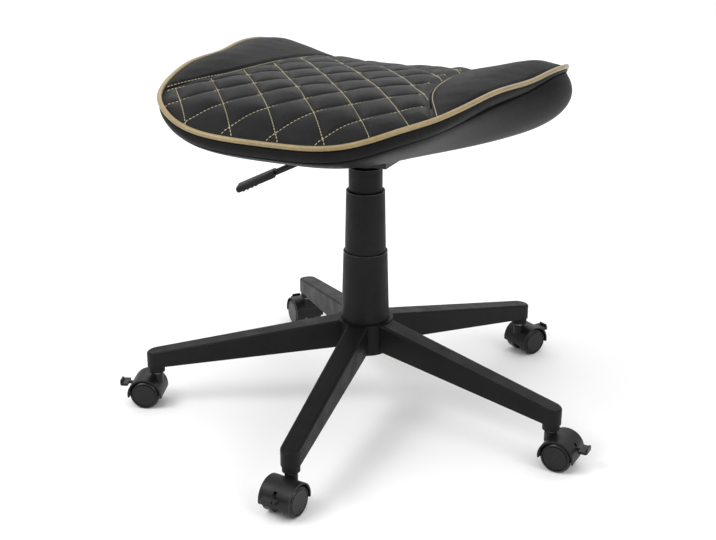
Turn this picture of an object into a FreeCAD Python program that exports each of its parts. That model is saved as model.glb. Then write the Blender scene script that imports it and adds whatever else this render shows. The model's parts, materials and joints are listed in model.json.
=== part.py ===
import FreeCAD, Part
import math
import os

# Gaming stool: padded seat with raised wings on a gas column, five-leg base on twin-wheel casters.
# Millimetres. Origin on the floor under the column, +Z up, the seat's front towards -Y.

# Fits
running_gap = 0.05
press_gap = 0.02
seat_gap = 0.2
weld_gap = 0.05
stop_gap = 0.3

# Base
caster_circle_radius = 285.0
leg_count = 5
first_leg_heading = 205.0
hub_radius = 36.0
hub_flare = 1.5
hub_wall = 3.0
hub_core_wall = 3.5
hub_bottom = 87.0
hub_top = 130.0
hub_deck = 6.0
leg_wall = 2.0
leg_edge_round = 3.0
leg_root_width = 29.0
leg_root_top = 129.0
leg_root_bottom = 91.0
leg_tip_width = 25.0
leg_tip_top = 80.0
leg_tip_bottom = 58.0
socket_bottom = 49.0
socket_depth = 26.0
socket_overlap = 0.5

# Casters
caster_trail_turns = (-5.0, -14.0, 8.0, -1.0, 7.0)
caster_trail = 14.5
wheel_diameter = 40.0
wheel_width = 16.5
wheel_edge_round = 2.5
wheel_cap_radius = 16.5
wheel_cap_groove = 1.2
wheel_wall = 2.0
wheel_side_gap = 0.5
axle_radius = 3.5
axle_end_gap = 0.5
hood_web = 9.0
hood_gap = 1.2
hood_wall = 2.2
hood_skirt = 3.5
hood_hub_radius = 10.0
stem_radius = 5.5
stem_foot_radius = 4.0
stem_collar_radius = 7.0
stem_foot_bottom = 32.0
hood_boss_radius = 8.0
hood_boss_top = 46.3
brake_pivot_out = 11.5
brake_pivot_up = 10.0
brake_pin_radius = 1.5
brake_boss_radius = 3.4
brake_arm_width = 4.0
brake_arm_height = 3.4
brake_tab_start = 25.5
brake_tab_length = 11.0
brake_tab_width = 20.0
brake_tab_round = 3.5
brake_lip_height = 3.0
brake_lip_length = 2.6
brake_side_gap = 0.3
brake_window = 6.0

# Gas column
column_radius = 19.0
column_wall = 2.0
column_bottom = 81.0
column_floor = 5.0
column_top = 272.0
column_taper = 0.6
bush_bottom = 201.0
bush_flange = 2.0
cylinder_radius = 14.0
cylinder_wall = 2.0
cylinder_bottom = 194.0
cylinder_top = 364.0
cylinder_plug = 35.0
taper_start = 341.0
taper_draw = 0.6
end_cap_height = 12.0
rod_radius = 5.0
rod_bottom = 77.0
rod_hole_gap = 0.5
piston_bottom = 259.0
piston_height = 10.0
piston_gap = 0.1
race_thickness = 2.5
race_radius = 13.0
ball_radius = 2.0
ball_count = 8
ball_gap = 0.02
rod_collar_radius = 9.0
rod_collar_height = 3.0
clip_thickness = 1.3
clip_radius = 7.5
clip_groove = 0.8
clip_opening = 6.0
pin_radius = 3.0
pin_top = 368.6
pin_length = 25.6
pin_travel_room = 4.0

# Telescopic cover
cover_wall = 1.5
cover_lower_bottom_radius = 32.0
cover_lower_top_radius = 29.25
cover_lower_top = 224.6
cover_middle_radius = 27.25
cover_middle_top_radius = 25.5
cover_middle_top = 307.5
cover_middle_length = 122.0
cover_upper_radius = 22.2
cover_upper_wall = 1.8
cover_upper_top = 339.0
cover_upper_length = 66.0
cover_lip_height = 3.0
cover_lid = 2.0
cover_cup_depth = 4.0

# Seat plate and lever
board_bottom = 379.0
plate_sheet = 2.5
plate_length = 120.0
plate_width = 120.0
plate_corner = 12.0
tray_half_length = 46.0
tray_half_width = 40.0
tray_bottom = 351.0
socket_wall = 5.0
socket_low = 342.0
socket_high = 365.0
bolt_x = 50.0
bolt_y = 50.0
bolt_radius = 2.95
bolt_head_radius = 6.0
bolt_head_height = 4.5
bolt_hole_gap = 0.45
bolt_tip = 1.0
lever_heading = 200.0
lever_droop = 24.7
lever_pivot_reach = 26.0
lever_pivot_height = 370.0
lever_pin_radius = 3.0
lever_boss_radius = 6.5
lever_half_width = 5.9
lever_tongue_end = 6.0
lever_tongue_half_width = 5.0
lever_tongue_bottom = 369.0
lever_tongue_height = 4.5
lever_rod_radius = 4.0
lever_rod_length = 142.0
lever_slot_half_width = 8.0
ear_thickness = 2.5
ear_half_length = 6.0
ear_top = 375.5
ear_side_gap = 0.3
grip_start = 100.0
grip_length = 56.0
grip_width = 22.0
grip_thickness = 9.0
grip_round = 3.5
grip_rib_count = 4
grip_rib_pitch = 6.0
grip_rib_width = 2.4
grip_rib_height = 1.0

# Seat board
board_thickness = 12.0
board_half_length = 72.0
board_front = 70.0
board_back = 105.0
board_corner = 18.0
tee_barrel_radius = 4.6
tee_barrel_length = 11.0
tee_flange_radius = 10.0
tee_flange_thickness = 1.2

# Seat
seat_power = 4.0
seat_arc_count = 16
border_height = 17.0
cut_half_width = 245.0
cut_top = 540.0
edge_station = 200.0
# Crown of the seat: place along Y, height on the centre line, height 200 mm out
crown_stations = (
    (-305.0, 414.0, 421.0),
    (-276.0, 437.0, 443.0),
    (-250.0, 456.0, 452.0),
    (-190.0, 470.0, 463.0),
    (-100.0, 472.0, 473.0),
    (0.0, 467.0, 473.0),
    (90.0, 452.0, 470.0),
    (150.0, 435.0, 460.0),
    (190.0, 421.0, 445.0),
    (235.0, 400.0, 410.0),
)
# Pad outlines: height, front reach, back reach, half width, widening towards the back
pad_outlines = (
    (384.0, 274.0, 210.0, 210.0, 0.13),
    (429.0, 272.0, 208.0, 208.0, 0.13),
    (464.0, 276.0, 212.0, 212.0, 0.13),
    (520.0, 276.0, 212.0, 212.0, 0.13),
)
# Lower body outlines, in the same order
body_outlines = (
    (379.0, 125.0, 150.0, 122.0, 0.46),
    (386.0, 150.0, 170.0, 136.0, 0.47),
    (399.0, 205.0, 195.0, 178.0, 0.45),
    (417.0, 262.0, 208.0, 208.0, 0.25),
    (437.0, 270.0, 212.0, 219.0, 0.13),
    (520.0, 270.0, 208.0, 212.0, 0.12),
)
piping_radius = 3.2
piping_gap = 0.15
seam_gap = 0.4
seam_front = (178.0, -212.0)
seam_bend = (131.0, -108.0)
seam_run = (114.0, 10.0)
seam_back = (108.0, 230.0)
diamond_width = 57.0
diamond_length = 71.0
diamond_cross = -262.0
diamond_shift = 13.0
channel_first = -3
channel_last = 8
channel_width = 2.6
channel_depth = 2.4

# Worked out from the sizes above
wheel_radius = wheel_diameter / 2
axle_height = wheel_radius
wheel_inner = hood_web / 2 + wheel_side_gap
wheel_outer = wheel_inner + wheel_width
hood_inner_radius = wheel_radius + hood_gap
hood_radius = hood_inner_radius + hood_wall
hub_bore_radius = column_radius + press_gap
column_inner = column_radius - column_wall
cylinder_inner = cylinder_radius - cylinder_wall
board_top = board_bottom + board_thickness
quilt_angle = math.degrees(math.atan2(diamond_width, diamond_length))
quilt_pitch = diamond_width * diamond_length / math.hypot(diamond_width, diamond_length)
z_axis = FreeCAD.Vector(0, 0, 1)
origin = FreeCAD.Vector(0, 0, 0)


def vec(x, y, z=0.0):
    return FreeCAD.Vector(x, y, z)


def save(name, shape):
    shape.exportStep("parts/" + name + ".step")


def polygon_face(points):
    wire = Part.makePolygon(list(points) + [points[0]])
    return Part.Face(wire)


def revolved(profile):
    # Closed outline of (radius, height) pairs, turned about the Z axis
    face = polygon_face([vec(r, 0, z) for r, z in profile])
    return face.revolve(origin, z_axis, 360)


def tube(outer, inner, low, high):
    return revolved([(inner, low), (outer, low), (outer, high), (inner, high)])


def rod(radius, low, high, x=0.0, y=0.0):
    return Part.makeCylinder(radius, high - low, vec(x, y, low))


def cross_rod(radius, half_length, x, z):
    # Cylinder along Y, centred on Y = 0
    return Part.makeCylinder(radius, 2 * half_length, vec(x, -half_length, z), vec(0, 1, 0))


def block(x0, x1, half_width, z0, z1):
    return Part.makeBox(x1 - x0, 2 * half_width, z1 - z0, vec(x0, -half_width, z0))


def side_prism(points, half_width):
    # Outline of (x, z) pairs, extruded along Y on both sides of the centre plane
    face = polygon_face([vec(x, -half_width, z) for x, z in points])
    return face.extrude(vec(0, 2 * half_width, 0))


def rounded_rectangle(x0, x1, y0, y1, corner, z, height):
    core = Part.makeBox(x1 - x0, y1 - y0, height, vec(x0, y0, z))
    upright = [e for e in core.Edges if abs(e.Vertexes[0].Z - e.Vertexes[1].Z) > height / 2]
    return core.makeFillet(corner, upright)


def turned(shape, heading):
    copy = shape.copy()
    copy.rotate(origin, z_axis, heading)
    return copy


def tilted(shape, angle, centre):
    copy = shape.copy()
    copy.rotate(centre, vec(0, 1, 0), angle)
    return copy


def column_radius_at(z):
    # The column tube narrows towards its foot, inside the hub
    share = (hub_top - z) / (hub_top - hub_bottom)
    return column_radius - column_taper * share


def taper_radius_at(z):
    # The gas cylinder's head narrows upwards, inside the taper socket
    return cylinder_radius - taper_draw * (z - taper_start) / (cylinder_top - taper_start)


# Base


def make_hub():
    bore_low = column_radius_at(hub_bottom) + press_gap
    core = hub_bore_radius + hub_core_wall
    inside = hub_radius - hub_wall
    deck = hub_top - hub_deck
    return revolved([
        (bore_low, hub_bottom), (core, hub_bottom), (core, deck), (inside, deck), (inside, hub_bottom),
        (hub_radius, hub_bottom), (hub_radius, deck), (hub_radius + hub_flare, hub_top),
        (hub_bore_radius, hub_top),
    ])


def leg_line(x, root, tip):
    share = (x - hub_radius) / (caster_circle_radius - hub_radius)
    return root + (tip - root) * share


def leg_block(inset, top_drop, bottom_drop):
    # Plan outline with a round tip, cut to the sloping side view
    tip = leg_tip_width / 2 - inset
    start = leg_line(0, leg_root_width, leg_tip_width) / 2 - inset
    side_left = Part.LineSegment(vec(caster_circle_radius, tip), vec(0, start)).toShape()
    root = Part.LineSegment(vec(0, start), vec(0, -start)).toShape()
    side_right = Part.LineSegment(vec(0, -start), vec(caster_circle_radius, -tip)).toShape()
    nose = Part.Arc(
        vec(caster_circle_radius, -tip),
        vec(caster_circle_radius + tip, 0),
        vec(caster_circle_radius, tip),
    ).toShape()
    plan = Part.Face(Part.Wire([side_left, root, side_right, nose])).extrude(vec(0, 0, leg_root_top * 2))
    reach = caster_circle_radius + leg_tip_width
    side = side_prism([
        (0, leg_line(0, leg_root_bottom, leg_tip_bottom) - bottom_drop),
        (reach, leg_line(reach, leg_root_bottom, leg_tip_bottom) - bottom_drop),
        (reach, leg_line(reach, leg_root_top, leg_tip_top) - top_drop),
        (0, leg_line(0, leg_root_top, leg_tip_top) - top_drop),
    ], leg_root_width)
    return plan.common(side)


def on_leg_top(edge):
    middle = edge.valueAt((edge.FirstParameter + edge.LastParameter) / 2)
    ends = [v.Point for v in edge.Vertexes] + [middle]
    heights = [abs(p.z - leg_line(p.x, leg_root_top, leg_tip_top)) for p in ends]
    return max(heights) < 0.01 and middle.x > 1


def hub_room():
    # Space the hub takes up among the legs, with the weld gap round it
    outer = hub_radius + weld_gap
    flared = outer + hub_flare
    top = leg_root_top * 2
    return revolved([
        (0, 0), (outer, 0), (outer, hub_top - hub_deck), (flared, hub_top), (flared, top), (0, top),
    ])


def make_leg():
    outer = leg_block(0, 0, 0)
    outer = outer.makeFillet(leg_edge_round, [e for e in outer.Edges if on_leg_top(e)])
    inner = leg_block(leg_wall, leg_wall, leg_wall * 5)
    socket_top = socket_bottom + socket_depth
    socket_radius = leg_tip_width / 2 - leg_wall + socket_overlap
    socket = rod(socket_radius, socket_bottom, socket_top, caster_circle_radius)
    bore = rod(stem_radius + running_gap, socket_bottom, socket_top, caster_circle_radius)
    leg = outer.cut(inner).fuse(socket).cut(bore)
    return leg.cut(hub_room()).removeSplitter()


# Casters, built with the stem on the Z axis and the trail along +X


def make_wheel():
    cap_in = wheel_cap_radius - wheel_cap_groove
    low = wheel_inner
    high = wheel_outer
    bore = axle_radius + running_gap
    bore_end = high - wheel_wall
    groove = high - wheel_cap_groove
    edge = wheel_edge_round
    return revolved([
        (0, bore_end), (bore, bore_end), (bore, low), (wheel_radius - edge, low),
        (wheel_radius, low + edge), (wheel_radius, high - edge), (wheel_radius - edge, high),
        (wheel_cap_radius, high), (wheel_cap_radius, groove), (cap_in, groove), (cap_in, high), (0, high),
    ])


def placed_wheel(side):
    wheel = make_wheel()
    wheel.rotate(origin, vec(1, 0, 0), -90 * side)
    wheel.translate(vec(caster_trail, 0, axle_height))
    return wheel


def make_hood():
    upper = block(-100, 100, 100, axle_height - hood_skirt, 100)
    ring = cross_rod(hood_radius, wheel_outer, caster_trail, axle_height)
    ring = ring.cut(cross_rod(hood_inner_radius, wheel_outer + 1, caster_trail, axle_height))
    web = cross_rod(hood_inner_radius + hood_wall / 2, hood_web / 2, caster_trail, axle_height)
    hub = cross_rod(hood_hub_radius, hood_web / 2, caster_trail, axle_height)
    boss = rod(hood_boss_radius, stem_foot_bottom, hood_boss_top)
    boss = boss.cut(cross_rod(hood_inner_radius, wheel_outer, caster_trail, axle_height))
    hood = ring.fuse(web).common(upper).fuse(hub).fuse(boss)
    hood = hood.cut(cross_rod(axle_radius + press_gap, wheel_outer, caster_trail, axle_height))
    hood = hood.cut(rod(stem_foot_radius + press_gap, stem_foot_bottom, hood_boss_top + 1))
    pivot_x = caster_trail + brake_pivot_out
    pivot_z = axle_height + brake_pivot_up
    slot_start = pivot_x - brake_boss_radius - 1
    slot_end = caster_trail + hood_inner_radius
    half_slot = brake_arm_width / 2 + brake_side_gap
    slot_low = pivot_z - brake_window
    slot = block(slot_start, slot_end, half_slot, slot_low, pivot_z + brake_window)
    window = block(pivot_x, caster_trail + hood_radius + 1, half_slot, slot_low, pivot_z + brake_arm_height)
    pin_hole = cross_rod(brake_pin_radius + running_gap, hood_web, pivot_x, pivot_z)
    return hood.cut(slot).cut(window).cut(pin_hole).removeSplitter()


def make_stem():
    collar_top = socket_bottom - stop_gap
    return revolved([
        (0, stem_foot_bottom), (stem_foot_radius, stem_foot_bottom), (stem_foot_radius, hood_boss_top),
        (stem_collar_radius, hood_boss_top), (stem_collar_radius, collar_top), (stem_radius, collar_top),
        (stem_radius, socket_bottom + socket_depth - 1), (0, socket_bottom + socket_depth - 1),
    ])


def make_brake():
    pivot_x = caster_trail + brake_pivot_out
    pivot_z = axle_height + brake_pivot_up
    low = pivot_z - brake_arm_height / 2
    high = pivot_z + brake_arm_height / 2
    tab_start = caster_trail + brake_tab_start
    tab_end = tab_start + brake_tab_length
    arm = block(pivot_x, tab_start + 1, brake_arm_width / 2, low, high)
    boss = cross_rod(brake_boss_radius, brake_arm_width / 2, pivot_x, pivot_z)
    pin = cross_rod(brake_pin_radius, hood_web / 2, pivot_x, pivot_z)
    tab = block(tab_start, tab_end, brake_tab_width / 2, low, high)
    corners = [
        e for e in tab.Edges
        if abs(e.Vertexes[0].X - tab_end) < 0.01 and abs(e.Vertexes[0].Z - e.Vertexes[1].Z) > 1
    ]
    tab = tab.makeFillet(brake_tab_round, corners)
    half_lip = brake_tab_width / 2 - brake_tab_round
    lip = block(tab_end - brake_lip_length, tab_end, half_lip, high, high + brake_lip_height)
    return arm.fuse(boss).fuse(pin).fuse(tab).fuse(lip).removeSplitter()


def place_caster(shape, index):
    leg_heading = first_leg_heading + index * 360 / leg_count
    placed = turned(shape, leg_heading + caster_trail_turns[index])
    reach = math.radians(leg_heading)
    placed.translate(vec(caster_circle_radius * math.cos(reach), caster_circle_radius * math.sin(reach), 0))
    return placed


# Gas column


def make_column_tube():
    foot = column_radius_at(hub_bottom)
    floor = column_bottom + column_floor
    return revolved([
        (rod_radius + rod_hole_gap, column_bottom), (foot, column_bottom), (foot, hub_bottom),
        (column_radius, hub_top), (column_radius, column_top), (column_inner, column_top),
        (column_inner, floor), (rod_radius + rod_hole_gap, floor),
    ])


def make_guide_bush():
    inner = cylinder_radius + running_gap
    outer = column_inner - press_gap
    return revolved([
        (inner, bush_bottom), (outer, bush_bottom), (outer, column_top), (column_radius, column_top),
        (column_radius, column_top + bush_flange), (inner, column_top + bush_flange),
    ])


def make_thrust_bearing():
    low = column_bottom + column_floor
    ball_low = low + race_thickness
    upper = ball_low + 2 * ball_radius + 2 * ball_gap
    bore = rod_radius + rod_hole_gap
    pieces = [tube(race_radius, bore, low, ball_low), tube(race_radius, bore, upper, upper + race_thickness)]
    ring_radius = (race_radius + bore) / 2
    for index in range(ball_count):
        heading = 2 * math.pi * index / ball_count
        x = ring_radius * math.cos(heading)
        y = ring_radius * math.sin(heading)
        pieces.append(Part.makeSphere(ball_radius, vec(x, y, ball_low + ball_radius + ball_gap)))
    return Part.makeCompound(pieces)


def clip_height():
    return column_bottom - stop_gap - clip_thickness


def make_piston_rod():
    collar = column_bottom + column_floor + 2 * race_thickness + 2 * ball_radius + 2 * ball_gap + running_gap
    groove = rod_radius - clip_groove
    clip_low = clip_height() - press_gap
    clip_high = clip_height() + clip_thickness + press_gap
    piston = cylinder_inner - piston_gap
    return revolved([
        (0, rod_bottom), (rod_radius, rod_bottom), (rod_radius, clip_low), (groove, clip_low),
        (groove, clip_high), (rod_radius, clip_high), (rod_radius, collar), (rod_collar_radius, collar),
        (rod_collar_radius, collar + rod_collar_height), (rod_radius, collar + rod_collar_height),
        (rod_radius, piston_bottom), (piston, piston_bottom), (piston, piston_bottom + piston_height),
        (0, piston_bottom + piston_height),
    ])


def make_rod_clip():
    low = clip_height()
    ring = tube(clip_radius, rod_radius - clip_groove + press_gap, low, low + clip_thickness)
    return ring.cut(block(0, clip_radius + 1, clip_opening / 2, low - 1, low + clip_thickness + 1))


def make_gas_cylinder():
    plug = cylinder_top - cylinder_plug
    pin_bore = pin_radius + running_gap
    pin_floor = pin_top - pin_length - pin_travel_room
    return revolved([
        (cylinder_inner, cylinder_bottom), (cylinder_radius, cylinder_bottom), (cylinder_radius, taper_start),
        (taper_radius_at(cylinder_top), cylinder_top), (pin_bore, cylinder_top), (pin_bore, pin_floor),
        (0, pin_floor), (0, plug), (cylinder_inner, plug),
    ])


def make_end_cap():
    high = cylinder_bottom + end_cap_height
    return tube(cylinder_inner - press_gap, rod_radius + running_gap, cylinder_bottom, high)


# Telescopic cover


def make_cover_lower():
    bore = cover_lower_top_radius - cover_wall
    return revolved([
        (bore, hub_top), (cover_lower_bottom_radius, hub_top), (cover_lower_top_radius, cover_lower_top),
        (bore, cover_lower_top),
    ])


def make_cover_middle():
    low = cover_middle_top - cover_middle_length
    bore = cover_middle_top_radius - cover_wall
    lip = cover_upper_radius + stop_gap
    lip_low = cover_middle_top - cover_lip_height
    return revolved([
        (bore, low), (cover_middle_radius, low), (cover_middle_radius, cover_lower_top),
        (cover_middle_top_radius, cover_middle_top), (lip, cover_middle_top), (lip, lip_low), (bore, lip_low),
    ])


def make_cover_upper():
    low = cover_upper_top - cover_upper_length
    bore = cover_upper_radius - cover_upper_wall
    lip = cover_middle_top_radius - cover_wall - stop_gap
    lid_top = cover_upper_top - cover_cup_depth
    lid_low = lid_top - cover_lid
    hole = cylinder_radius + running_gap
    return revolved([
        (bore, low), (lip, low), (lip, low + cover_lip_height), (cover_upper_radius, low + cover_lip_height),
        (cover_upper_radius, cover_upper_top), (bore, cover_upper_top), (bore, lid_top), (hole, lid_top),
        (hole, lid_low), (bore, lid_low),
    ])


# Seat plate and lever, the lever built along +X


def bolt_places():
    return [(sx * bolt_x, sy * bolt_y) for sx in (-1, 1) for sy in (-1, 1)]


def make_seat_plate():
    flange_low = board_bottom - plate_sheet
    flange = rounded_rectangle(
        -plate_length / 2, plate_length / 2, -plate_width / 2, plate_width / 2, plate_corner,
        flange_low, plate_sheet,
    )
    tray = block(-tray_half_length, tray_half_length, tray_half_width, tray_bottom, board_bottom)
    hollow = block(
        -tray_half_length + plate_sheet, tray_half_length - plate_sheet, tray_half_width - plate_sheet,
        tray_bottom + plate_sheet, board_bottom + 1,
    )
    plate = flange.fuse(tray).cut(hollow)
    plate = plate.cut(rod(taper_outer_radius() + weld_gap, tray_bottom - 1, board_bottom))
    slot = block(
        tray_half_length - 4 * plate_sheet, tray_half_length + 4 * plate_sheet, lever_slot_half_width,
        tray_bottom + plate_sheet, board_bottom - plate_sheet,
    )
    plate = plate.cut(turned(slot, lever_heading))
    for x, y in bolt_places():
        plate = plate.cut(rod(bolt_radius + bolt_hole_gap, flange_low - 1, board_bottom + 1, x, y))
    for side in (-1, 1):
        plate = plate.fuse(turned(make_ear(side), lever_heading))
    return plate.removeSplitter()


def make_ear(side):
    inner = lever_half_width + ear_side_gap
    low_y = inner if side > 0 else -inner - ear_thickness
    ear = Part.makeBox(
        2 * ear_half_length, ear_thickness, ear_top - tray_bottom - plate_sheet,
        vec(lever_pivot_reach - ear_half_length, low_y, tray_bottom + plate_sheet),
    )
    half = lever_half_width + 2 * ear_thickness
    return ear.cut(cross_rod(lever_pin_radius + press_gap, half, lever_pivot_reach, lever_pivot_height))


def taper_outer_radius():
    return cylinder_radius + socket_wall


def make_taper_socket():
    gap = press_gap
    return revolved([
        (taper_radius_at(socket_low) + gap, socket_low), (taper_outer_radius(), socket_low),
        (taper_outer_radius(), socket_high), (taper_radius_at(socket_high) + gap, socket_high),
    ])


def make_lever_pin():
    half = lever_half_width + ear_side_gap + ear_thickness + 1
    return turned(cross_rod(lever_pin_radius, half, lever_pivot_reach, lever_pivot_height), lever_heading)


def lever_pivot():
    return vec(lever_pivot_reach, 0, lever_pivot_height)


def make_lever_rod():
    tongue = block(
        -lever_tongue_end, lever_pivot_reach, lever_tongue_half_width,
        lever_tongue_bottom, lever_tongue_bottom + lever_tongue_height,
    )
    boss = cross_rod(lever_boss_radius, lever_half_width, lever_pivot_reach, lever_pivot_height)
    bar = Part.makeCylinder(lever_rod_radius, lever_rod_length, lever_pivot(), vec(1, 0, 0))
    bar = tilted(bar, lever_droop, lever_pivot())
    lever = tongue.fuse(boss).fuse(bar)
    half = lever_half_width + 1
    hole = cross_rod(lever_pin_radius + running_gap, half, lever_pivot_reach, lever_pivot_height)
    return turned(lever.cut(hole).removeSplitter(), lever_heading)


def make_lever_grip():
    start = lever_pivot_reach + grip_start
    end = start + grip_length
    low = lever_pivot_height - grip_thickness / 2
    paddle = block(start, end, grip_width / 2, low, low + grip_thickness)
    paddle = paddle.makeFillet(grip_round, [e for e in paddle.Edges if e.Length > grip_thickness + 1])
    for index in range(grip_rib_count):
        x = end - grip_rib_pitch * (index + 1.5)
        rib = block(x, x + grip_rib_width, grip_width / 2 - grip_round, low - grip_rib_height, low + 1)
        paddle = paddle.fuse(rib)
    hole = Part.makeCylinder(
        lever_rod_radius + press_gap, lever_rod_length + press_gap, lever_pivot(), vec(1, 0, 0)
    )
    grip = tilted(paddle.cut(hole).removeSplitter(), lever_droop, lever_pivot())
    return turned(grip, lever_heading)


# Seat board and its fasteners


def board_block(gap):
    return rounded_rectangle(
        -board_half_length - gap, board_half_length + gap, -board_front - gap, board_back + gap,
        board_corner + gap, board_bottom - gap, board_thickness + 2 * gap,
    )


def make_board():
    board = board_block(0)
    for x, y in bolt_places():
        board = board.cut(rod(tee_barrel_radius + press_gap, board_bottom - 1, board_top + 1, x, y))
    return board


def make_tee_nuts():
    nuts = []
    for x, y in bolt_places():
        barrel = rod(tee_barrel_radius, board_top - tee_barrel_length, board_top, x, y)
        flange = rod(tee_flange_radius, board_top, board_top + tee_flange_thickness, x, y)
        thread = rod(bolt_radius + press_gap, board_bottom, board_top + 2 * tee_flange_thickness, x, y)
        nuts.append(barrel.fuse(flange).cut(thread).removeSplitter())
    return Part.makeCompound(nuts)


def make_plate_bolts():
    bolts = []
    head_top = board_bottom - plate_sheet
    for x, y in bolt_places():
        head = rod(bolt_head_radius, head_top - bolt_head_height, head_top, x, y)
        rim = [e for e in head.Edges if abs(e.BoundBox.ZMax - head_top + bolt_head_height) < 0.01]
        head = head.makeFillet(bolt_head_height / 3, rim)
        shank = rod(bolt_radius, head_top, board_top + tee_flange_thickness + bolt_tip, x, y)
        bolts.append(head.fuse(shank).removeSplitter())
    return Part.makeCompound(bolts)


# Seat


def signed_power(value, power):
    return math.copysign(abs(value) ** power, value)


def outline_point(heading, front, back, half_width, flare, z):
    # Squared-off oval, wider towards the back
    along = signed_power(math.sin(heading), 2 / seat_power)
    across = signed_power(math.cos(heading), 2 / seat_power)
    y = along * (back if along > 0 else front)
    x = across * (half_width + flare * y)
    return vec(x, y, z)


def outline_wire(z, front, back, half_width, flare):
    step = 2 * math.pi / seat_arc_count
    edges = []
    for index in range(seat_arc_count):
        headings = [(index + shift) * step for shift in (-0.5, 0, 0.5)]
        spots = [outline_point(heading, front, back, half_width, flare, z) for heading in headings]
        edges.append(Part.Arc(*spots).toShape())
    return Part.Wire(edges)


def outline_loft(outlines):
    return Part.makeLoft([outline_wire(*outline) for outline in outlines], True)


def crown_section(y, middle, edge):
    outer = middle + (edge - middle) * (cut_half_width / edge_station) ** 2
    left = vec(-cut_half_width, y, outer)
    right = vec(cut_half_width, y, outer)
    left_top = vec(-cut_half_width, y, cut_top)
    right_top = vec(cut_half_width, y, cut_top)
    crown = Part.Arc(left, vec(0, y, middle), right).toShape()
    wall_right = Part.LineSegment(right, right_top).toShape()
    roof = Part.LineSegment(right_top, left_top).toShape()
    wall_left = Part.LineSegment(left_top, left).toShape()
    return Part.Wire([crown, wall_right, roof, wall_left])


def make_space_above():
    # Everything above the seat's top face
    return Part.makeLoft([crown_section(*station) for station in crown_stations], True)


def lowered(shape, drop):
    copy = shape.copy()
    copy.translate(vec(0, 0, -drop))
    return copy


def wing_region(side, shift):
    # Plan region outside a seam, moved out by shift
    spots = [vec(side * (x + shift), y) for x, y in (seam_front, seam_bend, seam_run, seam_back)]
    far = side * 2 * cut_half_width
    seam = Part.Arc(spots[0], spots[1], spots[2]).toShape()
    corners = [spots[2], spots[3], vec(far, seam_back[1]), vec(far, seam_front[1]), spots[0]]
    edges = [seam]
    for start, end in zip(corners, corners[1:]):
        edges.append(Part.LineSegment(start, end).toShape())
    return Part.Face(Part.Wire(edges)).extrude(vec(0, 0, cut_top))


def channel_slabs(side):
    # Upright slabs along one direction of the diamond quilting
    reach = 2 * cut_half_width
    slabs = []
    for index in range(channel_first, channel_last + 1):
        slab = Part.makeBox(
            channel_width, 2 * reach, cut_top, vec(side * index * quilt_pitch - channel_width / 2, -reach, 0)
        )
        slab.rotate(origin, z_axis, side * quilt_angle)
        slab.translate(vec(diamond_shift, diamond_cross, 0))
        slabs.append(slab)
    return Part.makeCompound(slabs)


def height_at(x, y, space_above):
    plumb = Part.makeLine(vec(x, y, 0), vec(x, y, cut_top - 1))
    return plumb.common(space_above).BoundBox.ZMin


def rim_points(space_above):
    top_outline = pad_outlines[-1]
    count = 2 * seat_arc_count
    points = []
    for index in range(count):
        spot = outline_point((index + 0.5) * 2 * math.pi / count, *top_outline[1:], 0)
        points.append(vec(spot.x, spot.y, height_at(spot.x, spot.y, space_above)))
    return points


def rounded_loop(points):
    # Straight runs joined by tangent arcs, closed
    count = len(points)
    corners = []
    for index, corner in enumerate(points):
        before = points[index - 1] - corner
        after = points[(index + 1) % count] - corner
        reach = 0.45 * min(before.Length, after.Length)
        before.normalize()
        after.normalize()
        half_turn = before.getAngle(after) / 2
        middle = before + after
        middle.normalize()
        depth = reach / math.cos(half_turn) - reach * math.tan(half_turn)
        corners.append((corner + before * reach, corner + middle * depth, corner + after * reach))
    edges = []
    for index, (start, middle, end) in enumerate(corners):
        edges.append(Part.LineSegment(corners[index - 1][2], start).toShape())
        edges.append(Part.Arc(start, middle, end).toShape())
    return Part.Wire(edges)


def make_piping(path, radius):
    first = path.Edges[0]
    heading = first.tangentAt(first.FirstParameter)
    ring = Part.Wire([Part.makeCircle(radius, first.valueAt(first.FirstParameter), heading)])
    return path.makePipeShell([ring], True, False)


def make_seat():
    space_above = make_space_above()
    pads = outline_loft(pad_outlines).cut(space_above).common(lowered(space_above, border_height))
    path = rounded_loop(rim_points(space_above))
    piping = make_piping(path, piping_radius)
    pads = pads.cut(make_piping(path, piping_radius + piping_gap))
    nodes = {"piping": piping}
    centre = pads
    for side, name in ((-1, "wing_pad_right"), (1, "wing_pad_left")):
        nodes[name] = pads.common(wing_region(side, seam_gap / 2))
        centre = centre.cut(wing_region(side, -seam_gap / 2))
    skin = centre.cut(lowered(centre, channel_depth))
    for side in (-1, 1):
        centre = centre.cut(channel_slabs(side).common(skin))
    # The channels leave a crumb at the rim, which is dropped
    nodes["quilted_pad"] = max(centre.Solids, key=lambda solid: solid.Volume)
    body = outline_loft(body_outlines).cut(lowered(space_above, border_height + seat_gap))
    body = body.cut(board_block(seat_gap))
    for x, y in bolt_places():
        high = board_top + tee_flange_thickness + bolt_tip + seat_gap
        body = body.cut(rod(tee_flange_radius + seat_gap, board_bottom, high, x, y))
    nodes["seat_body"] = body
    return nodes


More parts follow.
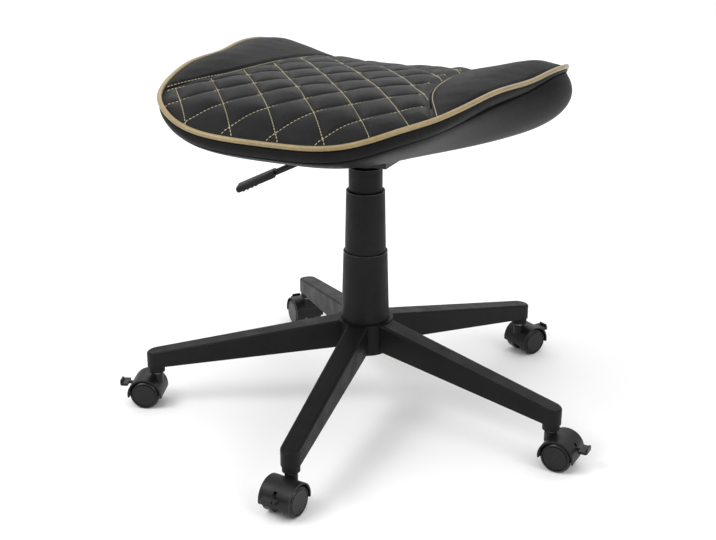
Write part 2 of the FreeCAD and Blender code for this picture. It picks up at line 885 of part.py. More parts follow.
def build():
    os.makedirs("parts", exist_ok=True)
    save("base_hub", make_hub())
    leg = make_leg()
    for index in range(leg_count):
        save("base_leg_%d" % (index + 1), turned(leg, first_leg_heading + index * 360 / leg_count))
    pieces = {
        "hood": make_hood(),
        "stem": make_stem(),
        "axle": cross_rod(axle_radius, wheel_outer - wheel_wall - axle_end_gap, caster_trail, axle_height),
        "wheel_left": placed_wheel(1),
        "wheel_right": placed_wheel(-1),
        "brake": make_brake(),
    }
    for index in range(leg_count):
        for name, shape in pieces.items():
            save("caster_%d_%s" % (index + 1, name), place_caster(shape, index))
    save("column_tube", make_column_tube())
    save("guide_bush", make_guide_bush())
    save("thrust_bearing", make_thrust_bearing())
    save("rod_clip", make_rod_clip())
    save("piston_rod", make_piston_rod())
    save("gas_cylinder", make_gas_cylinder())
    save("cylinder_end_cap", make_end_cap())
    save("release_pin", rod(pin_radius, pin_top - pin_length, pin_top))
    save("cover_lower", make_cover_lower())
    save("cover_middle", make_cover_middle())
    save("cover_upper", make_cover_upper())
    save("seat_plate", make_seat_plate())
    save("taper_socket", make_taper_socket())
    save("lever_pin", make_lever_pin())
    save("lever_rod", make_lever_rod())
    save("lever_grip", make_lever_grip())
    save("seat_board", make_board())
    save("tee_nuts", make_tee_nuts())
    save("plate_bolts", make_plate_bolts())
    for name, shape in make_seat().items():
        save(name, shape)


build()
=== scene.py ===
import json
import math
import bpy
import bmesh
import numpy as np
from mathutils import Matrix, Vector


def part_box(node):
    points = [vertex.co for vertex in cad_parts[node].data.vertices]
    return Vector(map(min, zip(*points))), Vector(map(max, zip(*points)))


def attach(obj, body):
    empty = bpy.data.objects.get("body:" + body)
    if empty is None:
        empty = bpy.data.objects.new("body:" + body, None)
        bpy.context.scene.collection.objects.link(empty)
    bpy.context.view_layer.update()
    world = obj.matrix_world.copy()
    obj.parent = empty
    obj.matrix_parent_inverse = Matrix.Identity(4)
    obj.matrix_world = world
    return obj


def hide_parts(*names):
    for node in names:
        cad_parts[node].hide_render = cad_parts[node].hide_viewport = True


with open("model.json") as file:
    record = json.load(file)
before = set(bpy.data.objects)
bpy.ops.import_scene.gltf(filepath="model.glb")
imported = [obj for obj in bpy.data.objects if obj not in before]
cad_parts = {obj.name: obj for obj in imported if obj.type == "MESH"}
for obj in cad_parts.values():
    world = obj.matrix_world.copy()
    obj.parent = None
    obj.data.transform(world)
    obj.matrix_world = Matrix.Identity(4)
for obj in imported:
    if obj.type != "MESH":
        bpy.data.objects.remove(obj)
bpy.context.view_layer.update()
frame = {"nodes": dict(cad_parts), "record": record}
nodes = frame["nodes"]
print("frame loaded,", len(nodes), "nodes")

# seat form, in metres: the rim in plan, the crown along Y, and the sewn lines between the panels
seatForm = {
    "front": 0.276,
    "back": 0.212,
    "halfWidth": 0.212,
    "flare": 0.13,
    "power": 4.0,
    "crownY": (-0.305, -0.276, -0.250, -0.190, -0.100, 0.0, 0.090, 0.150, 0.190, 0.235),
    "crownMid": (0.414, 0.437, 0.456, 0.470, 0.472, 0.467, 0.452, 0.435, 0.421, 0.400),
    "crownEdge": (0.421, 0.443, 0.452, 0.463, 0.473, 0.473, 0.470, 0.460, 0.445, 0.410),
    "edgeAt": 0.200,
    "rimSink": 0.0060,
    "seamY": (-0.215, -0.108, 0.010, 0.230),
    "seamX": (0.181, 0.131, 0.114, 0.108),
    "sideX": (0.09, 0.16),
    "sideY": (-0.12, 0.03),
}


# cubic through knots, with each slope taken from the neighbouring knots
def smoothThrough(knots, values, at):
    knots = np.asarray(knots, float)
    values = np.asarray(values, float)
    slopes = np.gradient(values, knots)
    i = np.clip(np.searchsorted(knots, at) - 1, 0, len(knots) - 2)
    width = knots[i + 1] - knots[i]
    t = np.clip((at - knots[i]) / width, 0, 1)
    a = (1 + 2 * t) * (1 - t) ** 2 * values[i] + t * (1 - t) ** 2 * width * slopes[i]
    return a + t * t * (3 - 2 * t) * values[i + 1] - t * t * (1 - t) * width * slopes[i + 1]


# 0 below low, 1 above high, with a level start and end
def easeStep(low, high, value):
    t = np.clip((value - low) / (high - low), 0, 1)
    return t * t * (3 - 2 * t)


# height of the stretched cover: a parabola across, from the middle line to the line 200 mm out
def crownHeight(x, y):
    middle = smoothThrough(seatForm["crownY"], seatForm["crownMid"], y)
    edge = smoothThrough(seatForm["crownY"], seatForm["crownEdge"], y)
    return middle + (edge - middle) * (x / seatForm["edgeAt"]) ** 2


# squared-off oval: |x/w|^p + |y/r|^p = 1, with w growing towards the back
def ovalPoint(heading, front, back, halfWidth, flare):
    share = 2 / seatForm["power"]
    along = np.sign(np.sin(heading)) * np.abs(np.sin(heading)) ** share
    across = np.sign(np.cos(heading)) * np.abs(np.cos(heading)) ** share
    y = along * np.where(along > 0, back, front)
    return across * (halfWidth + flare * y), y


# the oval with the rim's own sizes
def rimPoint(heading):
    return ovalPoint(heading, seatForm["front"], seatForm["back"], seatForm["halfWidth"], seatForm["flare"])


# half width of the rim's oval at a place along Y
def rimWidth(y):
    reach = np.where(y > 0, seatForm["back"], seatForm["front"])
    room = np.clip(1 - np.abs(y / reach) ** seatForm["power"], 0, 1)
    return (seatForm["halfWidth"] + seatForm["flare"] * y) * room ** (1 / seatForm["power"])


# distance of the sewn seam from the middle line, through its knots along Y
def seamLine(y):
    return smoothThrough(seatForm["seamY"], seatForm["seamX"], y)


# 1 beside the wings' rear halves, 0 at the front and in the middle of the back
def sideShare(x, y):
    return easeStep(*seatForm["sideX"], np.abs(x)) * easeStep(*seatForm["sideY"], y)


# headings that step evenly along the rim
def evenHeadings(count):
    dense = np.linspace(0, 2 * np.pi, 6001)
    x, y = rimPoint(dense)
    run = np.r_[0, np.cumsum(np.hypot(np.diff(x), np.diff(y)))]
    return np.interp(np.arange(count) / count * run[-1], run, dense)


# rim places, heights and outward directions in plan
def rimLoop(count):
    heading = evenHeadings(count)
    x, y = rimPoint(heading)
    dx = np.roll(x, -1) - np.roll(x, 1)
    dy = np.roll(y, -1) - np.roll(y, 1)
    length = np.hypot(dx, dy)
    z = crownHeight(x, y) - seatForm["rimSink"] * sideShare(x, y)
    return heading, np.stack([x, y, z], 1), np.stack([dy / length, -dx / length], 1)


# quads of a grid of rows by columns, either way joined end to end if it wraps
def gridFaces(rows, columns, wrapRows=False, wrapColumns=False):
    rowCount = rows if wrapRows else rows - 1
    columnCount = columns if wrapColumns else columns - 1
    r, c = np.meshgrid(np.arange(rowCount), np.arange(columnCount), indexing="ij")
    r1 = (r + 1) % rows
    c1 = (c + 1) % columns
    corners = [r * columns + c, r * columns + c1, r1 * columns + c1, r1 * columns + c]
    return np.stack(corners, -1).reshape(-1, 4)


# a mesh from a grid's points and quads, with doubles merged, caps closed and normals turned outwards
def newPiece(name, points, faces, material, caps=()):
    mesh = bpy.data.meshes.new(name)
    mesh.from_pydata(points.reshape(-1, 3).tolist(), [], faces.tolist() + [list(cap) for cap in caps])
    work = bmesh.new()
    work.from_mesh(mesh)
    bmesh.ops.remove_doubles(work, verts=work.verts, dist=1e-6)
    bmesh.ops.recalc_face_normals(work, faces=work.faces)
    work.to_mesh(mesh)
    work.free()
    mesh.shade_smooth()
    piece = bpy.data.objects.new(name, mesh)
    bpy.context.scene.collection.objects.link(piece)
    mesh.materials.append(material)
    return piece


# a mesh's points as rows of x, y and z
def meshPoints(mesh):
    flat = np.empty(len(mesh.vertices) * 3, np.float32)
    mesh.vertices.foreach_get("co", flat)
    return flat.reshape(-1, 3).astype(float)


# Node groups shared by the finishes


# an empty group with its sockets named
def newGroup(name, sockets):
    group = bpy.data.node_groups.new(name, "ShaderNodeTree")
    for label, way, kind, value in sockets:
        socket = group.interface.new_socket(label, in_out=way, socket_type=kind)
        if value is not None:
            socket.default_value = value
    return group, group.nodes.new("NodeGroupInput"), group.nodes.new("NodeGroupOutput")


# one sum or product of two values, either of them a socket or a number
def mathNode(tree, kind, first, second=None):
    node = tree.nodes.new("ShaderNodeMath")
    node.operation = kind
    for slot, value in enumerate((first, second)):
        if isinstance(value, bpy.types.NodeSocket):
            tree.links.new(value, node.inputs[slot])
        elif value is not None:
            node.inputs[slot].default_value = value
    return node.outputs[0]


# cloudy noise, its value round one half
def noiseNode(tree, vector, scale, detail, roughness=0.5):
    node = tree.nodes.new("ShaderNodeTexNoise")
    node.inputs["Detail"].default_value = detail
    node.inputs["Roughness"].default_value = roughness
    tree.links.new(vector, node.inputs["Vector"])
    if isinstance(scale, bpy.types.NodeSocket):
        tree.links.new(scale, node.inputs["Scale"])
    else:
        node.inputs["Scale"].default_value = scale
    return node.outputs["Fac"]


# a straight line that takes low..high to newLow..newHigh
def rangeNode(tree, value, low, high, newLow, newHigh):
    node = tree.nodes.new("ShaderNodeMapRange")
    tree.links.new(value, node.inputs["Value"])
    for slot, number in zip(("From Min", "From Max", "To Min", "To Max"), (low, high, newLow, newHigh)):
        if isinstance(number, bpy.types.NodeSocket):
            tree.links.new(number, node.inputs[slot])
        else:
            node.inputs[slot].default_value = number
    return node.outputs["Result"]


# pebbled leather: raised cells from a cell pattern's distance to its borders, broken up by fine noise
def makeLeatherGroup():
    group, come, go = newGroup("leatherGrain", [
        ("Vector", "INPUT", "NodeSocketVector", None),
        ("Scale", "INPUT", "NodeSocketFloat", 900.0),
        ("Height", "OUTPUT", "NodeSocketFloat", None),
        ("Valley", "OUTPUT", "NodeSocketFloat", None),
    ])
    bend = group.nodes.new("ShaderNodeTexNoise")
    bend.inputs["Scale"].default_value = 160.0
    group.links.new(come.outputs["Vector"], bend.inputs["Vector"])
    shift = group.nodes.new("ShaderNodeVectorMath")
    shift.operation = "MULTIPLY_ADD"
    group.links.new(bend.outputs["Color"], shift.inputs[0])
    shift.inputs[1].default_value = (0.0016, 0.0016, 0.0016)
    group.links.new(come.outputs["Vector"], shift.inputs[2])
    cells = group.nodes.new("ShaderNodeTexVoronoi")
    cells.feature = "DISTANCE_TO_EDGE"
    group.links.new(shift.outputs[0], cells.inputs["Vector"])
    group.links.new(come.outputs["Scale"], cells.inputs["Scale"])
    dome = rangeNode(group, cells.outputs["Distance"], 0.0, 0.28, 0.0, 1.0)
    pores = noiseNode(group, come.outputs["Vector"], 2600.0, 2.0)
    height = mathNode(group, "MULTIPLY_ADD", pores, 0.35)
    group.links.new(dome, height.node.inputs[2])
    group.links.new(height, go.inputs["Height"])
    group.links.new(rangeNode(group, dome, 0.0, 0.5, 1.0, 0.0), go.inputs["Valley"])
    return group


# slow drift between two colours, with a second faster one on top
def makeDriftGroup():
    group, come, go = newGroup("colourDrift", [
        ("Vector", "INPUT", "NodeSocketVector", None),
        ("Scale", "INPUT", "NodeSocketFloat", 14.0),
        ("Dark", "INPUT", "NodeSocketColor", (0.02, 0.02, 0.02, 1)),
        ("Light", "INPUT", "NodeSocketColor", (0.05, 0.05, 0.05, 1)),
        ("Color", "OUTPUT", "NodeSocketColor", None),
        ("Share", "OUTPUT", "NodeSocketFloat", None),
    ])
    slow = noiseNode(group, come.outputs["Vector"], come.outputs["Scale"], 4.0)
    fastScale = mathNode(group, "MULTIPLY", come.outputs["Scale"], 11.0)
    fast = noiseNode(group, come.outputs["Vector"], fastScale, 3.0)
    slowPart = mathNode(group, "MULTIPLY", slow, 0.65)
    fastPart = mathNode(group, "MULTIPLY", fast, 0.35)
    both = mathNode(group, "ADD", slowPart, fastPart)
    share = rangeNode(group, both, 0.36, 0.64, 0.0, 1.0)
    mix = group.nodes.new("ShaderNodeMix")
    mix.data_type = "RGBA"
    group.links.new(share, mix.inputs["Factor"])
    group.links.new(come.outputs["Dark"], mix.inputs["A"])
    group.links.new(come.outputs["Light"], mix.inputs["B"])
    group.links.new(mix.outputs["Result"], go.inputs["Color"])
    group.links.new(share, go.inputs["Share"])
    return group


# fine stipple of a moulded or powder-coated skin
def makeStippleGroup():
    group, come, go = newGroup("skinStipple", [
        ("Vector", "INPUT", "NodeSocketVector", None),
        ("Scale", "INPUT", "NodeSocketFloat", 1400.0),
        ("Height", "OUTPUT", "NodeSocketFloat", None),
        ("Value", "OUTPUT", "NodeSocketFloat", None),
    ])
    coarse = noiseNode(group, come.outputs["Vector"], come.outputs["Scale"], 2.0)
    fineScale = mathNode(group, "MULTIPLY", come.outputs["Scale"], 2.7)
    fine = noiseNode(group, come.outputs["Vector"], fineScale, 1.0)
    height = mathNode(group, "MULTIPLY_ADD", fine, 0.4)
    group.links.new(coarse, height.node.inputs[2])
    group.links.new(height, go.inputs["Height"])
    group.links.new(noiseNode(group, come.outputs["Vector"], 45.0, 3.0), go.inputs["Value"])
    return group


leatherGroup = makeLeatherGroup()
driftGroup = makeDriftGroup()
stippleGroup = makeStippleGroup()


# a material with a bare shader, and the object's own coordinates
def newFinish(name):
    material = bpy.data.materials.new(name)
    material.use_nodes = True
    tree = material.node_tree
    tree.nodes.clear()
    shader = tree.nodes.new("ShaderNodeBsdfPrincipled")
    out = tree.nodes.new("ShaderNodeOutputMaterial")
    tree.links.new(shader.outputs["BSDF"], out.inputs["Surface"])
    place = tree.nodes.new("ShaderNodeTexCoord").outputs["Object"]
    return material, tree, shader, place


# a shared group placed in a material, with its own values
def groupNode(tree, group, place, **values):
    node = tree.nodes.new("ShaderNodeGroup")
    node.node_tree = group
    tree.links.new(place, node.inputs["Vector"])
    for label, value in values.items():
        node.inputs[label].default_value = value
    return node


# relief from a height, laid over another relief if one is given
def bumpNode(tree, shader, height, strength, distance, below=None):
    bump = tree.nodes.new("ShaderNodeBump")
    bump.inputs["Strength"].default_value = strength
    bump.inputs["Distance"].default_value = distance
    tree.links.new(height, bump.inputs["Height"])
    if below is not None:
        tree.links.new(below, bump.inputs["Normal"])
    tree.links.new(bump.outputs["Normal"], shader.inputs["Normal"])
    return bump.outputs["Normal"]


# one level for all three colours, with red raised and blue lowered by the warmth
def grey(level, warmth=0.0):
    return (level * (1 + warmth), level, level * (1 - warmth), 1)


# soft synthetic leather: pebble grain, slow creases, and crests polished by use
def makeLeather(name, dark, light, rough, grain, depth, shine):
    material, tree, shader, place = newFinish(name)
    drift = groupNode(tree, driftGroup, place, Scale=16.0, Dark=dark, Light=light)
    pebbles = groupNode(tree, leatherGroup, place, Scale=grain)
    tree.links.new(drift.outputs["Color"], shader.inputs["Base Color"])
    tree.links.new(rangeNode(tree, pebbles.outputs["Valley"], 0.0, 1.0, *rough), shader.inputs["Roughness"])
    creases = noiseNode(tree, place, 70.0, 3.0)
    slow = bumpNode(tree, shader, creases, 0.25, 0.0012)
    bumpNode(tree, shader, pebbles.outputs["Height"], 0.5, depth, slow)
    shader.inputs["Specular IOR Level"].default_value = shine
    shader.inputs["Sheen Weight"].default_value = 0.01
    shader.inputs["Sheen Roughness"].default_value = 0.4
    return material


# black moulded plastic or powder coat: stipple, slow change of gloss
def makeSkin(name, dark, light, rough, grain, depth, shine):
    material, tree, shader, place = newFinish(name)
    drift = groupNode(tree, driftGroup, place, Scale=22.0, Dark=dark, Light=light)
    stipple = groupNode(tree, stippleGroup, place, Scale=grain)
    tree.links.new(drift.outputs["Color"], shader.inputs["Base Color"])
    tree.links.new(rangeNode(tree, stipple.outputs["Value"], 0.3, 0.7, *rough), shader.inputs["Roughness"])
    bumpNode(tree, shader, stipple.outputs["Height"], 0.35, depth)
    shader.inputs["Specular IOR Level"].default_value = shine
    return material


# drawn or ground steel: streaks along the piece's length
def makeSteel(name, dark, light, stretch):
    material, tree, shader, place = newFinish(name)
    mapping = tree.nodes.new("ShaderNodeMapping")
    mapping.inputs["Scale"].default_value = stretch
    tree.links.new(place, mapping.inputs["Vector"])
    streaks = noiseNode(tree, mapping.outputs["Vector"], 600.0, 3.0)
    drift = groupNode(tree, driftGroup, place, Scale=30.0, Dark=dark, Light=light)
    tree.links.new(drift.outputs["Color"], shader.inputs["Base Color"])
    tree.links.new(rangeNode(tree, streaks, 0.3, 0.7, 0.24, 0.42), shader.inputs["Roughness"])
    bumpNode(tree, shader, streaks, 0.2, 0.00008)
    shader.inputs["Metallic"].default_value = 1.0
    return material


# twisted sewing thread: fine slanting fibres
def makeThread(name, dark, light):
    material, tree, shader, place = newFinish(name)
    drift = groupNode(tree, driftGroup, place, Scale=60.0, Dark=dark, Light=light)
    tree.links.new(drift.outputs["Color"], shader.inputs["Base Color"])
    twist = tree.nodes.new("ShaderNodeTexWave")
    twist.inputs["Scale"].default_value = 900.0
    twist.inputs["Distortion"].default_value = 1.5
    tree.links.new(place, twist.inputs["Vector"])
    tree.links.new(rangeNode(tree, twist.outputs["Fac"], 0.0, 1.0, 0.5, 0.7), shader.inputs["Roughness"])
    bumpNode(tree, shader, twist.outputs["Fac"], 0.4, 0.0001)
    shader.inputs["Sheen Weight"].default_value = 0.2
    return material


# plywood: growth rings seen as long bands
def makeWood(name, dark, light):
    material, tree, shader, place = newFinish(name)
    mapping = tree.nodes.new("ShaderNodeMapping")
    mapping.inputs["Scale"].default_value = (6.0, 40.0, 40.0)
    tree.links.new(place, mapping.inputs["Vector"])
    rings = noiseNode(tree, mapping.outputs["Vector"], 2.0, 6.0)
    mix = tree.nodes.new("ShaderNodeMix")
    mix.data_type = "RGBA"
    mix.inputs["A"].default_value = dark
    mix.inputs["B"].default_value = light
    tree.links.new(rings, mix.inputs["Factor"])
    tree.links.new(mix.outputs["Result"], shader.inputs["Base Color"])
    tree.links.new(rangeNode(tree, rings, 0.3, 0.7, 0.6, 0.8), shader.inputs["Roughness"])
    bumpNode(tree, shader, rings, 0.3, 0.0003)
    return material


leathers = {
    "seatLeather": dict(
        dark=grey(0.0072), light=grey(0.0116), rough=(0.38, 0.56), grain=780.0, depth=0.00030, shine=0.10
    ),
    "wingLeather": dict(
        dark=grey(0.0058), light=grey(0.0092), rough=(0.36, 0.52), grain=780.0, depth=0.00030, shine=0.03
    ),
    # the border's leather is darker than the seat leather: painted shade in the recess under the piping
    "borderLeatherPaintedShade": dict(
        dark=grey(0.0052), light=grey(0.0084), rough=(0.42, 0.60), grain=780.0, depth=0.00028, shine=0.09
    ),
    "bodyLeather": dict(
        dark=grey(0.0058), light=grey(0.0098), rough=(0.34, 0.50), grain=700.0, depth=0.00030, shine=0.022
    ),
    "goldPiping": dict(
        dark=(0.20, 0.140, 0.052, 1), light=(0.29, 0.210, 0.085, 1),
        rough=(0.22, 0.36), grain=1500.0, depth=0.00012, shine=0.7,
    ),
}

skins = {
    "basePaint": dict(
        dark=grey(0.0050), light=grey(0.0085), rough=(0.40, 0.54), grain=1500.0, depth=0.00008, shine=0.14
    ),
    "coverPlastic": dict(
        dark=grey(0.0055), light=grey(0.0090), rough=(0.46, 0.58), grain=1900.0, depth=0.00006, shine=0.16
    ),
    # lighter than the cover plastic: a painted highlight on the cover stages' top edges; the lower roughness
    # and higher shine are the bead's real gloss
    "rimPlasticPaintedHighlight": dict(
        dark=grey(0.0080), light=grey(0.0120), rough=(0.22, 0.32), grain=1900.0, depth=0.00003, shine=0.45
    ),
    "casterPlastic": dict(
        dark=grey(0.0060), light=grey(0.0100), rough=(0.38, 0.52), grain=1800.0, depth=0.00004, shine=0.24
    ),
    "wheelPlastic": dict(
        dark=grey(0.0035), light=grey(0.0060), rough=(0.24, 0.38), grain=1600.0, depth=0.00004, shine=0.30
    ),
    "gripPlastic": dict(
        dark=grey(0.0055), light=grey(0.0085), rough=(0.40, 0.54), grain=1700.0, depth=0.00005, shine=0.25
    ),
    "blackSteel": dict(
        dark=grey(0.0050), light=grey(0.0080), rough=(0.30, 0.44), grain=1300.0, depth=0.00005, shine=0.28
    ),
    "bushPlastic": dict(
        dark=grey(0.55, 0.02), light=grey(0.65, 0.02),
        rough=(0.35, 0.5), grain=1500.0, depth=0.00004, shine=0.4,
    ),
}

finishes = {
    "goldThread": makeThread("goldThread", (0.40, 0.35, 0.20, 1), (0.52, 0.46, 0.29, 1)),
    "brightSteel": makeSteel("brightSteel", grey(0.42), grey(0.56), (1.0, 1.0, 0.08)),
    "boardWood": makeWood("boardWood", (0.30, 0.19, 0.09, 1), (0.52, 0.37, 0.21, 1)),
}
finishes.update({name: makeLeather(name, **values) for name, values in leathers.items()})
finishes.update({name: makeSkin(name, **values) for name, values in skins.items()})
print("finishes made:", len(finishes))

slotFinish = {
    "base_paint": "basePaint",
    "cover_plastic": "coverPlastic",
    "black_steel": "blackSteel",
    "bright_steel": "brightSteel",
    "bush_plastic": "bushPlastic",
    "grip_plastic": "gripPlastic",
    "board_wood": "boardWood",
    "caster_plastic": "casterPlastic",
    "wheel_plastic": "wheelPlastic",
    "seat_leather": "seatLeather",
    "gold_piping": "goldPiping",
}


# every CAD node gets the finish of its material slot
def paintNodes():
    for part in frame["record"]["subparts"]:
        mesh = nodes[part["node"]].data
        mesh.materials.clear()
        mesh.materials.append(finishes[slotFinish[part["material_slot"]]])


paintNodes()
print("CAD nodes painted")

# Seat panels

quilt = {
    "diamondWide": 0.057,
    "diamondLong": 0.071,
    "crossX": 0.013,
    "crossY": -0.262,
    "puff": 0.0036,
    "puffPower": 2.4,
    "grooveDepth": 0.0013,
    "grooveWide": 0.0022,
    "tuck": 0.0035,
    "tuckReach": 0.010,
    "seamTuck": 0.0042,
    "rows": 300,
    "columns": 210,
    "under": 16,
    "thick": 0.012,
    "fineFront": 0.205,
    "fineBack": 0.150,
    "endTurn": 0.012,
    "seamStart": (-0.225, -0.200),
    "pillowReach": 0.020,
    "edgeGap": 0.0001,
}
# distance between neighbouring sewn lines, square to them
diamondEdge = math.hypot(quilt["diamondWide"], quilt["diamondLong"])
quilt["pitch"] = quilt["diamondWide"] * quilt["diamondLong"] / diamondEdge

wing = {
    "puff": 0.0080,
    "peak": 1.6,
    "frontPuff": 0.0034,
    "rows": 230,
    "columns": 84,
    "under": 10,
    "tuck": 0.0038,
    "tuckReach": 0.009,
    "rimTuck": 0.6,
    "fullY": (-0.20, 0.0),
    "tailY": (0.10, 0.19),
    "tailLoss": 0.6,
    "fullWidth": 0.06,
    "thick": 0.012,
    "gap": 0.0002,
    "rimGap": 0.0004,
}

swell = {
    "gridLow": (-0.25, -0.30),
    "gridSize": (63, 67),
    "quickRise": 0.005,
    "voxel": 0.006,
    "pressure": 4.0,
    "frames": 20,
    "cap": 0.008,
    "cell": 0.008,
    "blurs": 4,
    "share": 0.30,
}


# how far inside the rim a place is, from the oval's own level there
def rimRoom(x, y):
    reach = np.where(y > 0, seatForm["back"], seatForm["front"])
    width = seatForm["halfWidth"] + seatForm["flare"] * y
    power = seatForm["power"]
    level = (np.abs(x / width) ** power + np.abs(y / reach) ** power) ** (1 / power)
    return (1 - level) * np.where(np.abs(x) / width > np.abs(y) / reach, width, reach)


# diamonds: each line family's distance, then a pillow that rises from both, less a narrow sewn groove
def quiltHeight(x, y):
    across = (x - quilt["crossX"]) / quilt["diamondWide"]
    along = (y - quilt["crossY"]) / quilt["diamondLong"]
    first = np.abs(across + along - np.round(across + along)) * quilt["pitch"]
    second = np.abs(across - along - np.round(across - along)) * quilt["pitch"]
    half = quilt["pitch"] / 2
    pillow = (1 - (1 - first / half) ** quilt["puffPower"]) * (1 - (1 - second / half) ** quilt["puffPower"])
    groove = np.exp(-((np.minimum(first, second) / quilt["grooveWide"]) ** 2))
    return quilt["puff"] * pillow - quilt["grooveDepth"] * groove


# low, slow unevenness of a hand-stretched cover: a few crossing sine waves
def coverDrift(x, y):
    a = np.sin(61 * x + 23 * y + 0.4) * np.sin(37 * y - 19 * x + 1.1)
    b = np.sin(143 * x - 67 * y + 2.0) * np.sin(97 * y + 41 * x)
    return 0.0007 * a + 0.0003 * b


# a closed ring per row: the top from left to right, then the underside back again
def padRings(y, left, right, top, columns, under, thick):
    u = np.linspace(0, 1, columns)
    x = left[:, None] + (right - left)[:, None] * u[None, :]
    yy = np.repeat(y[:, None], columns, 1)
    upper = np.stack([x, yy, top(x, yy)], -1)
    w = np.linspace(1, 0, under + 2)[1:-1]
    xb = left[:, None] + (right - left)[:, None] * w[None, :]
    yb = np.repeat(y[:, None], under, 1)
    lower = np.stack([xb, yb, crownHeight(xb, yb) - thick], -1)
    return np.concatenate([upper, lower], 1)


# rows crowd towards the rounded front and back, as the rim's own headings do
def padRows(count):
    low = math.asin((quilt["fineFront"] / seatForm["front"]) ** 2)
    high = math.asin((quilt["fineBack"] / seatForm["back"]) ** 2)
    end = np.pi / 2 - quilt["endTurn"]
    share = 2 / seatForm["power"]
    frontY = -seatForm["front"] * np.sin(np.linspace(end, low, count // 4)) ** share
    backY = seatForm["back"] * np.sin(np.linspace(high, end, count // 5)) ** share
    middle = np.linspace(frontY[-1], backY[0], count - len(frontY) - len(backY) + 2)
    return np.concatenate([frontY, middle[1:-1], backY])


# a smooth field of how far the simulated cover rose above the crown, on a coarse grid in plan
def swellField(points, normals):
    low = np.array(swell["gridLow"])
    size = np.array(swell["gridSize"])
    keep = normals[:, 2] > 0.35
    rise = points[keep, 2] - crownHeight(points[keep, 0], points[keep, 1])
    cell = np.clip(((points[keep, :2] - low) / swell["cell"]).round().astype(int), 0, size - 1)
    total = np.zeros(size)
    count = np.zeros(size)
    np.add.at(total, (cell[:, 0], cell[:, 1]), rise)
    np.add.at(count, (cell[:, 0], cell[:, 1]), 1.0)
    for turn in range(swell["blurs"]):
        for axis in (0, 1):
            total = total / 2 + (np.roll(total, 1, axis) + np.roll(total, -1, axis)) / 4
            count = count / 2 + (np.roll(count, 1, axis) + np.roll(count, -1, axis)) / 4
    return low, total / np.maximum(count, 1e-3)


# the field's value at a place, by bilinear mixing of its four cells
def fieldAt(field, x, y):
    low, values = field
    fx = np.clip((x - low[0]) / swell["cell"], 0, values.shape[0] - 1.001)
    fy = np.clip((y - low[1]) / swell["cell"], 0, values.shape[1] - 1.001)
    i = fx.astype(int)
    j = fy.astype(int)
    s = fx - i
    t = fy - j
    near = values[i, j] * (1 - s) + values[i + 1, j] * s
    far = values[i, j + 1] * (1 - s) + values[i + 1, j + 1] * s
    return near * (1 - t) + far * t


# pressure blows the held cover up a little; the movement of each point is capped
def simulateSwell(name, rings):
    rows, columns = rings.shape[:2]
    proxy = newPiece(
        name, rings, gridFaces(rows, columns, wrapColumns=True), finishes["seatLeather"],
        [range(columns), range((rows - 1) * columns, rows * columns)],
    )
    remesh = proxy.modifiers.new("evenCells", "REMESH")
    remesh.mode = "VOXEL"
    remesh.voxel_size = swell["voxel"]
    graph = bpy.context.evaluated_depsgraph_get()
    even = bpy.data.meshes.new_from_object(proxy.evaluated_get(graph))
    proxy.modifiers.clear()
    proxy.data = even
    start = meshPoints(even)
    held = proxy.vertex_groups.new(name="held")
    below = start[:, 2] < crownHeight(start[:, 0], start[:, 1]) - 0.004
    held.add(np.flatnonzero(below).tolist(), 1.0, "REPLACE")
    cloth = proxy.modifiers.new("cover", "CLOTH")
    cloth.settings.vertex_group_mass = "held"
    cloth.settings.use_pressure = True
    cloth.settings.uniform_pressure_force = swell["pressure"]
    cloth.settings.effector_weights.gravity = 0.0
    cloth.settings.tension_stiffness = 12.0
    cloth.settings.compression_stiffness = 12.0
    cloth.settings.bending_stiffness = 1.5
    cloth.point_cache.frame_start = 1
    cloth.point_cache.frame_end = swell["frames"]
    scene = bpy.context.scene
    for step in range(1, swell["frames"] + 1):
        scene.frame_set(step)
    graph = bpy.context.evaluated_depsgraph_get()
    blown = bpy.data.meshes.new_from_object(proxy.evaluated_get(graph))
    points = meshPoints(blown)
    move = points - start
    far = np.linalg.norm(move, axis=1, keepdims=True)
    points = start + move * np.minimum(1, swell["cap"] / np.maximum(far, 1e-9))
    normals = np.empty(len(points) * 3, np.float32)
    blown.vertices.foreach_get("normal", normals)
    field = swellField(points, normals.reshape(-1, 3))
    scene.frame_set(1)
    bpy.data.objects.remove(proxy)
    print(name, "swollen:", len(points), "points, furthest %.1f mm" % (1000 * far.max()))
    return field


# centre panel: crown, swelling, diamonds, drawn down at the rim and at the sewn seams
def quiltTop(x, y):
    edge = rimRoom(x, y)
    seam = seamLine(y) - np.abs(x)
    rimTuck = (1 - easeStep(0, quilt["tuckReach"], edge)) * quilt["tuck"]
    seamTuck = (1 - easeStep(0, quilt["tuckReach"], seam)) * quilt["seamTuck"]
    seamTuck = seamTuck * easeStep(*quilt["seamStart"], y)
    free = np.minimum(edge, np.where(y > quilt["seamStart"][1], seam, 1))
    body = easeStep(0, quilt["pillowReach"], free)
    rise = swell["share"] * fieldAt(quiltField, x, y) * body
    pillows = (quiltHeight(x, y) + coverDrift(x, y)) * body
    return crownHeight(x, y) + rise + pillows - rimTuck - seamTuck


